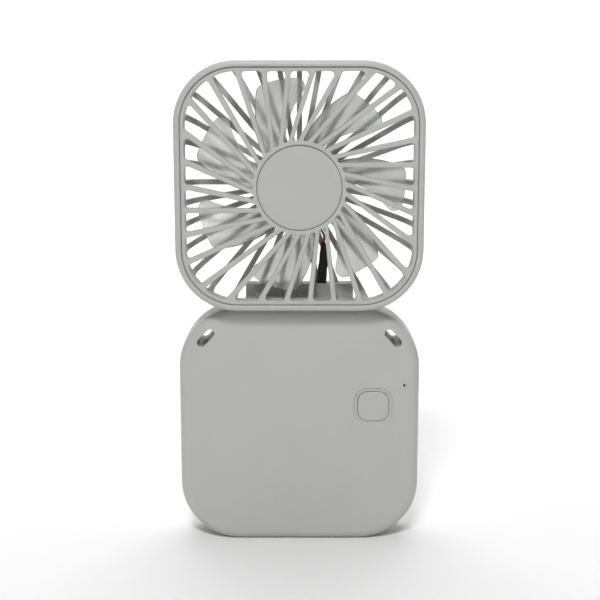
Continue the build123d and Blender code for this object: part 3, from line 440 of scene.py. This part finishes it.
@dataclass(frozen=True)
class BoardLacquer:
    """Solder mask over woven glass and copper, with the weave just showing."""

    name: str
    mask: Colour
    over_copper: Colour
    pattern_scale: float = 90.0
    pattern_gap: float = 0.06
    gloss: tuple[float, float] = (0.22, 0.34)
    smear: float = 1.5 * MM
    weave: float = 0.5 * MM
    weave_depth: float = 0.01 * MM
    edge: float = 0.1 * MM

    def build(self) -> bpy.types.Material:
        """Builds copper areas under the mask, and the weave in the relief.

        Returns:
            The material.
        """
        board = ShaderBoard(self.name)
        areas = board.tree.nodes.new("ShaderNodeTexBrick")
        areas.inputs["Scale"].default_value = self.pattern_scale
        areas.inputs["Mortar Size"].default_value = self.pattern_gap
        areas.inputs["Color1"].default_value = self.over_copper
        areas.inputs["Color2"].default_value = self.mask
        areas.inputs["Mortar"].default_value = self.mask
        turned = board.tree.nodes.new("ShaderNodeMapping")
        turned.inputs["Rotation"].default_value = (math.pi / 2, 0.0, 0.0)
        board.link(board.place, turned.inputs["Vector"])
        board.link(turned.outputs["Vector"], areas.inputs["Vector"])
        board.link(areas.outputs["Color"], board.shader.inputs["Base Color"])
        board.link(board.spread(board.noise(self.smear, 2.0), *self.gloss), board.shader.inputs["Roughness"])
        board.set(IOR=1.52, Coat_Weight=0.3, Coat_Roughness=0.2)
        board.bump(board.cells(self.weave), self.weave_depth, 0.5, board.eased_edges(self.edge))
        return board.material


@dataclass(frozen=True)
class PouchFoil:
    """Crinkled aluminium laminate of a pouch cell."""

    name: str
    colour: Colour
    # Darker grey painted into the hollows of the crinkles as shade.
    crease_shade: Colour
    gloss: tuple[float, float] = (0.25, 0.4)
    smear: float = 1.0 * MM
    crinkle: float = 6 * MM
    crinkle_depth: float = 0.15 * MM

    def build(self) -> bpy.types.Material:
        """Builds wide soft crinkles with sharper small ones on top, with painted shade in the colour of their
        hollows.

        Returns:
            The material.
        """
        board = ShaderBoard(self.name)
        crinkle = board.noise(self.crinkle, 5.0, rough=0.6)
        # Painted shade: the crinkle hollows, low in the bump, take the darker colour.
        board.link(board.blend(crinkle, self.crease_shade, self.colour), board.shader.inputs["Base Color"])
        board.link(board.spread(board.noise(self.smear, 2.0), *self.gloss), board.shader.inputs["Roughness"])
        board.set(Metallic=0.9)
        board.bump(crinkle, self.crinkle_depth, 0.8)
        return board.material


@dataclass(frozen=True)
class OpenFoam:
    """Fine grey sponge."""

    name: str
    colour: Colour
    # Near-black painted into the pores as the shade inside them.
    pore_shade: Colour
    gloss: tuple[float, float] = (0.95, 0.8)
    pore_size: float = 0.5 * MM
    pore_depth: float = 0.15 * MM

    def build(self) -> bpy.types.Material:
        """Builds pale foam with painted shade in its sunken pores.

        Returns:
            The material.
        """
        board = ShaderBoard(self.name)
        pores = board.cells(self.pore_size)
        # Painted shade: the pits of the pore relief take the near-black colour.
        board.link(board.blend(pores, self.pore_shade, self.colour), board.shader.inputs["Base Color"])
        board.link(board.spread(pores, *self.gloss), board.shader.inputs["Roughness"])
        board.bump(pores, self.pore_depth)
        return board.material


@dataclass(frozen=True)
class ClearPlastic:
    """Clear or dyed plastic with faint flow marks."""

    name: str
    colour: Colour
    cloudy: Colour
    passing: float = 0.9
    gloss: tuple[float, float] = (0.08, 0.2)
    flow: float = 0.9 * MM
    flow_depth: float = 0.004 * MM

    def build(self) -> bpy.types.Material:
        """Builds a slightly cloudy, nearly smooth plastic.

        Returns:
            The material.
        """
        board = ShaderBoard(self.name)
        flow = board.noise(self.flow, 2.0)
        board.link(board.blend(flow, self.cloudy, self.colour), board.shader.inputs["Base Color"])
        board.link(board.spread(flow, *self.gloss), board.shader.inputs["Roughness"])
        board.set(IOR=1.49, Transmission_Weight=self.passing)
        board.bump(flow, self.flow_depth, 0.4)
        return board.material


Finish = (MouldedPlastic | FrostedPlastic | WorkedMetal | SoftJacket | BoardLacquer | PouchFoil | OpenFoam
          | ClearPlastic)

FINISHES: dict[Slot, Finish] = {
    # The third colour paints a highlight along the shell's edges.
    Slot.SHELL: MouldedPlastic("shell_grey_satin", (0.428, 0.428, 0.412, 1), (0.442, 0.442, 0.426, 1),
                               (0.58, 0.58, 0.56, 1)),
    # The third colour paints shade as a dark outline along the blade edges.
    Slot.FROST: FrostedPlastic("impeller_milk", (0.80, 0.81, 0.80, 1), (0.73, 0.74, 0.73, 1),
                               (0.40, 0.41, 0.40, 1)),
    Slot.STEEL: WorkedMetal("drawn_steel", grey(0.62), grey(0.45, 0.02)),
    Slot.BRASS: WorkedMetal("turned_brass", (0.72, 0.52, 0.24, 1), (0.50, 0.34, 0.14, 1)),
    Slot.MAGNET: SoftJacket("bonded_ferrite", grey(0.035), grey(0.07), (0.55, 0.7)),
    Slot.LAMINATION: WorkedMetal("lacquered_laminations", grey(0.20), grey(0.12, 0.03), (0.4, 0.6),
                                 (1.0, 14.0, 1.0), 0.35 * MM),
    Slot.COPPER: WorkedMetal("enamelled_copper", (0.78, 0.34, 0.16, 1), (0.52, 0.18, 0.07, 1), (0.18, 0.32),
                             (1.0, 1.0, 1.0), 0.3 * MM),
    Slot.BOARD: BoardLacquer("board_lacquer", (0.010, 0.10, 0.035, 1), (0.020, 0.17, 0.06, 1)),
    Slot.BLACK_PART: SoftJacket("black_resin", grey(0.018), grey(0.035), (0.3, 0.45)),
    Slot.CAPACITOR: SoftJacket("capacitor_ceramic", (0.36, 0.24, 0.14, 1), (0.45, 0.32, 0.20, 1), (0.3, 0.4)),
    Slot.LED: ClearPlastic("led_resin", (0.85, 0.82, 0.62, 1), (0.75, 0.72, 0.50, 1), 0.25),
    # Near-black colour, so the unlit light pipe shows as a dark dot.
    Slot.CLEAR: ClearPlastic("light_pipe_dark", (0.10, 0.10, 0.11, 1), (0.07, 0.07, 0.08, 1)),
    Slot.RED_WIRE: SoftJacket("red_vinyl", (0.42, 0.012, 0.010, 1), (0.50, 0.03, 0.025, 1)),
    Slot.BLACK_WIRE: SoftJacket("black_vinyl", grey(0.012), grey(0.028)),
    Slot.CABLE: SoftJacket("black_jacket", grey(0.010), grey(0.024), (0.45, 0.6)),
    Slot.FOIL: PouchFoil("pouch_foil", grey(0.68), grey(0.55)),
    Slot.FOAM: OpenFoam("grey_sponge", grey(0.20), grey(0.05)),
    Slot.NICKEL: WorkedMetal("nickel_strip", grey(0.66, 0.03), grey(0.5, 0.03)),
    Slot.WASHER: WorkedMetal("spring_steel", grey(0.40), grey(0.28, 0.02), (0.3, 0.5)),
}


@dataclass
class PaintShop:
    """Keeps one material for each slot, built the first time that it is asked for."""

    made: dict[Slot, bpy.types.Material] = field(default_factory=dict)

    def material(self, slot: Slot) -> bpy.types.Material:
        """Looks up a slot's material, and builds it the first time.

        Args:
            slot: Slot of the record.

        Returns:
            The material.
        """
        if slot not in self.made:
            self.made[slot] = FINISHES[slot].build()
        return self.made[slot]

    def dress(self, node: bpy.types.Object, slot: Slot) -> None:
        """Gives a carried-over part the slot's material.

        Args:
            node: A part of the frame.
            slot: Slot whose finish it takes.
        """
        for place in node.material_slots:
            place.material = self.material(slot)
        LOG.info("dressed %s in %s", node.name, self.made[slot].name)

    def finish_piece(self, piece: bpy.types.Object, slot: Slot, body: Body) -> bpy.types.Object:
        """Dresses a new piece and lets it ride.

        Args:
            piece: Mesh object in its place.
            slot: Slot whose finish it takes.
            body: Body that carries it.

        Returns:
            The piece.
        """
        piece.data.materials.append(self.material(slot))
        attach(piece, body.value)
        LOG.info("built %s: %d faces on %s", piece.name, len(piece.data.polygons), body.value)
        return piece


def mesh_object(name: str, mesh: bmesh.types.BMesh, smooth: bool = True) -> bpy.types.Object:
    """Turns a bmesh into an object of the scene.

    Args:
        name: Name of the piece.
        mesh: Finished bmesh, which is freed.
        smooth: Whether its faces are shaded smooth.

    Returns:
        The object.
    """
    bmesh.ops.recalc_face_normals(mesh, faces=mesh.faces)
    data = bpy.data.meshes.new(name)
    mesh.to_mesh(data)
    mesh.free()
    for face in data.polygons:
        face.use_smooth = smooth
    piece = bpy.data.objects.new(name, data)
    bpy.context.scene.collection.objects.link(piece)
    return piece


def bridge_rings(mesh: bmesh.types.BMesh, rings: Sequence[Sequence[bmesh.types.BMVert]],
                 closed: bool = False) -> None:
    """Joins a row of equal rings with quads, and caps the ends of an open row.

    Args:
        mesh: Bmesh that holds the rings.
        rings: Vertices of each ring, all in the same order.
        closed: Whether the last ring joins the first.
    """
    pairs = list(zip(rings, rings[1:]))
    if closed:
        pairs.append((rings[-1], rings[0]))
    for near, far in pairs:
        count = len(near)
        for i in range(count):
            j = (i + 1) % count
            mesh.faces.new((near[i], near[j], far[j], far[i]))
    if not closed:
        mesh.faces.new(list(reversed(rings[0])))
        mesh.faces.new(rings[-1])


def rounded_box(mesh: bmesh.types.BMesh, centre: Vector, size: Vector, ease: float) -> None:
    """Adds a box with eased edges to a bmesh.

    Args:
        mesh: Bmesh to add to.
        centre: Middle of the box.
        size: Lengths along X, Y and Z.
        ease: Width of its edge rounding.
    """
    place = Matrix.Translation(centre) @ Matrix.Diagonal((*size, 1))
    made = bmesh.ops.create_cube(mesh, size=1.0, matrix=place)
    edges = list({edge for vert in made["verts"] for edge in vert.link_edges})
    bmesh.ops.bevel(mesh, geom=edges, offset=ease, segments=2, profile=0.6, affect="EDGES")


@dataclass
class FlatCable:
    """Twin-core ribbon jacket that brings the motor's leads down to the hinge."""

    width: float = 3.5 * MM
    depth: float = 1.7 * MM
    waist: float = 0.72
    core_spread: float = 0.16
    flatness: float = 0.62
    edge_inset: float = 1.77 * MM
    end_inset: float = 0.15 * MM
    end_shrink: float = 0.86
    steps: int = 44
    sides: int = 36
    ripple: float = 0.05 * MM
    seed: int = 7

    def section(self, angle: float) -> tuple[float, float]:
        """Point of the section, which has two round cores and a waist between them.

        Args:
            angle: Angle round the section's middle.

        Returns:
            Distances across and along the cable's depth.
        """
        across = math.cos(angle) * self.width / 2
        pinch = 1 - (1 - self.waist) * math.exp(-((across / (self.core_spread * self.width)) ** 2))
        full = math.copysign(abs(math.sin(angle)) ** self.flatness, math.sin(angle))
        return across, full * self.depth / 2 * pinch

    def build(self, shop: PaintShop) -> bpy.types.Object:
        """Builds the jacket between the ends of the plain one, with a faint ripple.

        Args:
            shop: Where its finish comes from.

        Returns:
            The jacket, which stands for the plain one.
        """
        low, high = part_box("motor_cable")
        foot = Vector((low.x + self.edge_inset, (low.y + high.y) / 2, low.z + self.end_inset))
        top = Vector((high.x - self.edge_inset, foot.y, high.z - self.end_inset))
        along = (top - foot).normalized()
        side = Vector((along.z, 0, -along.x))
        rng = random.Random(self.seed)
        phases = [rng.uniform(0, math.tau) for _ in range(3)]
        mesh = bmesh.new()
        rings = []
        for step in range(self.steps + 1):
            share = step / self.steps
            sway = sum(math.sin(math.tau * share * (k + 1) + phase) for k, phase in enumerate(phases))
            middle = foot.lerp(top, share) + side * sway * self.ripple
            ends = min(share, 1 - share) * self.steps
            shrink = self.end_shrink if ends < 0.5 else 1.0
            ring = []
            for i in range(self.sides):
                across, thick = self.section(math.tau * i / self.sides)
                ring.append(mesh.verts.new(middle + side * across * shrink + Vector((0, thick * shrink, 0))))
            rings.append(ring)
        bridge_rings(mesh, rings)
        LOG.info("flat cable is %.1f mm long and %.1f mm wide", (top - foot).length / MM, self.width / MM)
        piece = shop.finish_piece(mesh_object("motor_cable_jacket", mesh), Slot.CABLE, Body.HEAD)
        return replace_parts(piece, "motor_cable")


@dataclass
class SocketContacts:
    """Gold contact blades on both faces of the charging socket's tongue."""

    count: int = 8
    pitch: float = 0.62 * MM
    length: float = 3.2 * MM
    width: float = 0.34 * MM
    lift: float = 0.03 * MM
    tip_gap: float = 0.4 * MM

    def build(self, shop: PaintShop) -> bpy.types.Object:
        """Builds all the blades as one piece.

        Args:
            shop: Where their finish comes from.

        Returns:
            The blades.
        """
        low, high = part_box("usb_tongue")
        mesh = bmesh.new()
        middle_z = (low.z + high.z) / 2
        for face_y in (low.y, high.y):
            for i in range(self.count):
                z = middle_z + (i - (self.count - 1) / 2) * self.pitch
                centre = Vector((high.x - self.tip_gap - self.length / 2, face_y, z))
                rounded_box(mesh, centre, Vector((self.length, 2 * self.lift, self.width)), self.lift / 2)
        return shop.finish_piece(mesh_object("usb_contacts", mesh, False), Slot.BRASS, Body.BASE)


@dataclass
class CoilWindings:
    """Enamelled wire wound round each pole of the stator, turn by turn."""

    poles: int = 9
    wire: float = 0.30 * MM
    turns: int = 9
    layers: int = 2
    first_radius: float = 5.15 * MM
    core_half_width: float = 0.95 * MM
    corner: float = 0.5 * MM
    corner_steps: int = 4
    wire_sides: int = 6

    def loop(self, half_width: float, half_depth: float) -> list[tuple[float, float]]:
        """Rounded rectangle that one turn follows.

        Args:
            half_width: Half of its width across the pole.
            half_depth: Half of its depth along the shaft.

        Returns:
            Points round it.
        """
        points = []
        for quarter, (side, end) in enumerate(((1, 1), (-1, 1), (-1, -1), (1, -1))):
            for k in range(self.corner_steps + 1):
                angle = math.pi / 2 * (quarter + k / self.corner_steps)
                points.append((side * (half_width - self.corner) + self.corner * math.cos(angle),
                               end * (half_depth - self.corner) + self.corner * math.sin(angle)))
        return points

    def add_turn(self, mesh: bmesh.types.BMesh, path: Sequence[tuple[float, float]], centre: Vector,
                 out: Vector, across: Vector) -> None:
        """Adds one turn of wire to a bmesh.

        Args:
            mesh: Bmesh to add to.
            path: Points round the pole, across it and along the shaft.
            centre: Middle of the turn.
            out: Direction of the pole.
            across: Direction across the pole.
        """
        rings = []
        for i, (u, v) in enumerate(path):
            u_before, v_before = path[i - 1]
            u_after, v_after = path[(i + 1) % len(path)]
            outward = Vector((v_after - v_before, u_before - u_after)).normalized()
            ring = []
            for k in range(self.wire_sides):
                angle = math.tau * k / self.wire_sides
                swell = math.cos(angle) * self.wire / 2
                point = centre + out * (math.sin(angle) * self.wire / 2)
                point = point + across * (u + outward.x * swell) + Vector((0, v + outward.y * swell, 0))
                ring.append(mesh.verts.new(point))
            rings.append(ring)
        bridge_rings(mesh, rings, closed=True)

    def build(self, shop: PaintShop) -> bpy.types.Object:
        """Builds every turn of every pole as one piece.

        Args:
            shop: Where the copper comes from.

        Returns:
            The windings, which stand for the plain coils.
        """
        core_low, core_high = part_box("stator_core")
        coil_low, coil_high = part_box("stator_coils")
        middle = (core_low + core_high) / 2
        middle.x = 0.0
        room = (coil_high.y - coil_low.y) / 2
        mesh = bmesh.new()
        for pole in range(self.poles):
            turn = Matrix.Rotation(math.tau * pole / self.poles, 3, "Y")
            out, across = turn @ Vector((0, 0, 1)), turn @ Vector((1, 0, 0))
            for layer in range(self.layers):
                inset = (self.layers - layer - 0.5) * self.wire
                path = self.loop(self.core_half_width + (layer + 0.5) * self.wire, room - inset)
                for lap in range(self.turns - layer):
                    radius = self.first_radius + (lap + 0.5 + layer / 2) * self.wire
                    self.add_turn(mesh, path, middle + out * radius, out, across)
        piece = shop.finish_piece(mesh_object("stator_windings", mesh), Slot.COPPER, Body.HEAD)
        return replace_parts(piece, "stator_coils")


@dataclass
class Dressing:
    """Parts of one sub-assembly that stay as they are, with the slot of each."""

    title: str
    parts: dict[str, Slot]

    def build(self, shop: PaintShop, nodes: dict[str, bpy.types.Object]) -> None:
        """Dresses each part.

        Args:
            shop: Where the finishes come from.
            nodes: Parts of the frame by name.
        """
        LOG.info("dressing the %s", self.title)
        for name, slot in self.parts.items():
            shop.dress(nodes[name], slot)


@dataclass
class FanHead:
    """Slotted housing, front grille and what they hold still."""

    dressing: Dressing = field(default_factory=lambda: Dressing("head", {
        "rear_housing": Slot.SHELL, "front_grille": Slot.SHELL, "hub_cap": Slot.SHELL,
        "hinge_tube": Slot.STEEL, "red_lead_head": Slot.RED_WIRE, "black_lead_head": Slot.BLACK_WIRE,
    }))
    cable: FlatCable = field(default_factory=FlatCable)

    def build(self, shop: PaintShop, nodes: dict[str, bpy.types.Object]) -> None:
        """Dresses the head and builds its cable."""
        self.dressing.build(shop, nodes)
        self.cable.build(shop)


@dataclass
class Motor:
    """Outrunner motor behind the hub, with its board and windings."""

    dressing: Dressing = field(default_factory=lambda: Dressing("motor", {
        "bearing_tube": Slot.BRASS, "shaft_bearings": Slot.BRASS, "stator_core": Slot.LAMINATION,
        "stator_coils": Slot.COPPER, "motor_board": Slot.BOARD, "motor_screws": Slot.STEEL,
        "rotor_yoke": Slot.STEEL, "rotor_magnet": Slot.MAGNET, "shaft_bush": Slot.BRASS,
        "motor_shaft": Slot.STEEL, "shaft_clip": Slot.WASHER, "impeller": Slot.FROST,
    }))
    windings: CoilWindings = field(default_factory=CoilWindings)

    def build(self, shop: PaintShop, nodes: dict[str, bpy.types.Object]) -> None:
        """Dresses the motor and the impeller, and winds the coils."""
        self.dressing.build(shop, nodes)
        self.windings.build(shop)


@dataclass
class BatteryBase:
    """Base with the button, the light, the charging board and the battery."""

    dressing: Dressing = field(default_factory=lambda: Dressing("base", {
        "base_front_shell": Slot.SHELL, "base_rear_shell": Slot.SHELL, "shell_screws": Slot.STEEL,
        "power_button": Slot.SHELL, "switch_plunger": Slot.BLACK_PART, "switch_body": Slot.STEEL,
        "status_led": Slot.LED, "light_pipe": Slot.CLEAR, "main_board": Slot.BOARD,
        "board_screws": Slot.STEEL, "usb_socket": Slot.STEEL, "usb_tongue": Slot.BLACK_PART,
        "controller_chip": Slot.BLACK_PART, "charge_coil": Slot.LAMINATION,
        "board_capacitors": Slot.CAPACITOR, "battery_cell": Slot.FOIL, "battery_pad": Slot.FOAM,
        "battery_board": Slot.BOARD, "battery_tabs": Slot.NICKEL, "battery_lead_red": Slot.RED_WIRE,
        "battery_lead_black": Slot.BLACK_WIRE, "red_lead_base": Slot.RED_WIRE,
        "black_lead_base": Slot.BLACK_WIRE, "hinge_pin": Slot.STEEL, "friction_washers": Slot.WASHER,
    }))
    contacts: SocketContacts = field(default_factory=SocketContacts)

    def build(self, shop: PaintShop, nodes: dict[str, bpy.types.Object]) -> None:
        """Dresses the base and builds the socket's contacts."""
        self.dressing.build(shop, nodes)
        self.contacts.build(shop)


@dataclass
class Studio:
    """Pale sweep, soft lights and the camera.

    The lens and the film are in millimetres, and the pitch is in degrees.
    """

    key_power: float = 17.6
    key_size: float = 0.32
    key_place: tuple[float, float, float] = (-0.12, -1.17, 1.30)
    top_power: float = 9.0
    top_size: float = 1.2
    top_place: tuple[float, float, float] = (0.0, 0.55, 1.40)
    top_aim: tuple[float, float, float] = (0.0, 0.45, 0.0)
    wall_power: float = 24.0
    wall_size: float = 1.0
    wall_place: tuple[float, float, float] = (0.0, 0.60, 1.50)
    wall_aim: tuple[float, float, float] = (0.0, 2.20, 0.60)
    middle: tuple[float, float, float] = (0.0, 0.0, 0.09)
    sky: float = 0.07
    centre_radius: float = 0.05
    sweep_radius: float = 2.4
    sweep_height: float = 2.2
    sweep_curve: float = 1.1
    sweep_sides: int = 96
    curve_steps: int = 16
    paper: tuple[Colour, Colour] = (grey(0.86), grey(0.88))
    paper_cloud: float = 0.4
    paper_grain: float = 0.02
    camera_place: tuple[float, float, float] = (0.0002, -0.4467, 0.1741)
    camera_pitch: float = 10.72
    camera_near: float = 0.01
    lens: float = 73.86
    film: float = 36.0

    def sweep(self) -> bpy.types.Object:
        """Builds the round floor that curves up into the backdrop on every side.

        Returns:
            The floor, which is no part of the fan.
        """
        level = self.sweep_radius - self.sweep_curve
        profile = [(self.centre_radius, 0.0), (0.6 * level, 0.0), (level, 0.0)]
        for k in range(1, self.curve_steps + 1):
            angle = math.pi / 2 * k / self.curve_steps
            profile.append((level + self.sweep_curve * math.sin(angle),
                            self.sweep_curve * (1 - math.cos(angle))))
        profile.append((self.sweep_radius, self.sweep_height))
        mesh = bmesh.new()
        rows = [[mesh.verts.new((radius * math.cos(math.tau * i / self.sweep_sides),
                                 radius * math.sin(math.tau * i / self.sweep_sides), z))
                 for i in range(self.sweep_sides)] for radius, z in profile]
        mesh.faces.new(rows[0])
        for near, far in zip(rows, rows[1:]):
            for i in range(self.sweep_sides):
                j = (i + 1) % self.sweep_sides
                mesh.faces.new((near[i], near[j], far[j], far[i]))
        floor = mesh_object("studio_sweep", mesh)
        board = ShaderBoard("sweep_paper")
        clouds = board.noise(self.paper_cloud, 2.0)
        board.link(board.blend(clouds, *self.paper), board.shader.inputs["Base Color"])
        grain = board.noise(self.paper_grain, 3.0)
        board.link(board.spread(grain, 0.8, 0.9), board.shader.inputs["Roughness"])
        floor.data.materials.append(board.material)
        return floor

    def lamp(self, name: str, place: Sequence[float], aim: Sequence[float], size: float,
             power: float) -> bpy.types.Object:
        """Adds a square soft light.

        Args:
            name: Name of the light.
            place: Where it hangs.
            aim: Point that it faces.
            size: Side of the square.
            power: Watts.

        Returns:
            The light.
        """
        data = bpy.data.lights.new(name, "AREA")
        data.shape = "SQUARE"
        data.size = size
        data.energy = power
        light = bpy.data.objects.new(name, data)
        light.location = place
        light.rotation_euler = (Vector(aim) - Vector(place)).to_track_quat("-Z", "Y").to_euler()
        light.visible_camera = False
        bpy.context.scene.collection.objects.link(light)
        return light

    def build(self) -> None:
        """Builds the sweep, the lights, the sky and the camera."""
        self.sweep()
        self.lamp("key_light", self.key_place, self.middle, self.key_size, self.key_power)
        self.lamp("top_light", self.top_place, self.top_aim, self.top_size, self.top_power)
        self.lamp("wall_light", self.wall_place, self.wall_aim, self.wall_size, self.wall_power)
        world = bpy.data.worlds.new("studio_sky")
        world.use_nodes = True
        sky = world.node_tree.nodes["Background"]
        sky.inputs["Color"].default_value = grey(1.0)
        sky.inputs["Strength"].default_value = self.sky
        bpy.context.scene.world = world
        data = bpy.data.cameras.new("front_camera")
        data.lens = self.lens
        data.sensor_width = self.film
        data.clip_start = self.camera_near
        camera = bpy.data.objects.new("front_camera", data)
        camera.location = self.camera_place
        camera.rotation_euler = (math.radians(90 - self.camera_pitch), 0.0, 0.0)
        bpy.context.scene.collection.objects.link(camera)
        bpy.context.scene.camera = camera
        bpy.context.scene.view_settings.view_transform = "Standard"


def main() -> None:
    """Builds the looks in order."""
    logging.basicConfig(level=logging.INFO, format="%(name)s: %(message)s")
    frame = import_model()
    shop = PaintShop()
    for assembly in (FanHead(), Motor(), BatteryBase()):
        assembly.build(shop, frame["nodes"])
    Studio().build()


if __name__ == "__main__":
    main()
